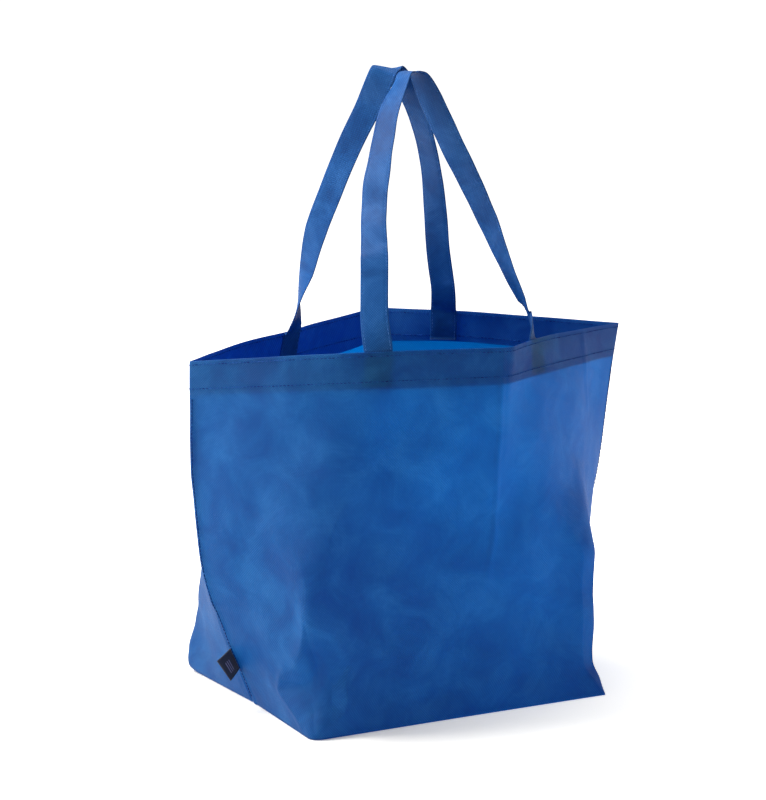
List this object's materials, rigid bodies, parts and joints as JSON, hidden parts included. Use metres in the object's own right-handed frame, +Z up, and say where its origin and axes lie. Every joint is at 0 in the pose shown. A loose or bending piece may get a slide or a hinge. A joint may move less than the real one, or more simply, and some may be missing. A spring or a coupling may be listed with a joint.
{
  "type": "shopping bag",
  "caption": "Open reusable shopping bag of thin bonded cloth with a flat boxed base, a hemmed rim, flat strap handles and a small side label.",
  "frame": {"origin": "middle of the base's underside, on the surface the bag stands on", "axes": "+Z up, X along the base's length with the labelled seam at -X, front panel towards -Y"},
  "size_m": [0.4346, 0.2882, 0.5643],
  "materials": {
    "body_cloth": "matte embossed",
    "strap_cloth": "matte embossed",
    "label_cloth": "satin"
  },
  "bodies": {
    "root": {"bag_body": "body_cloth", "front_handle": "strap_cloth", "back_handle": "strap_cloth", "side_label": "label_cloth"}
  },
  "joints": []
}
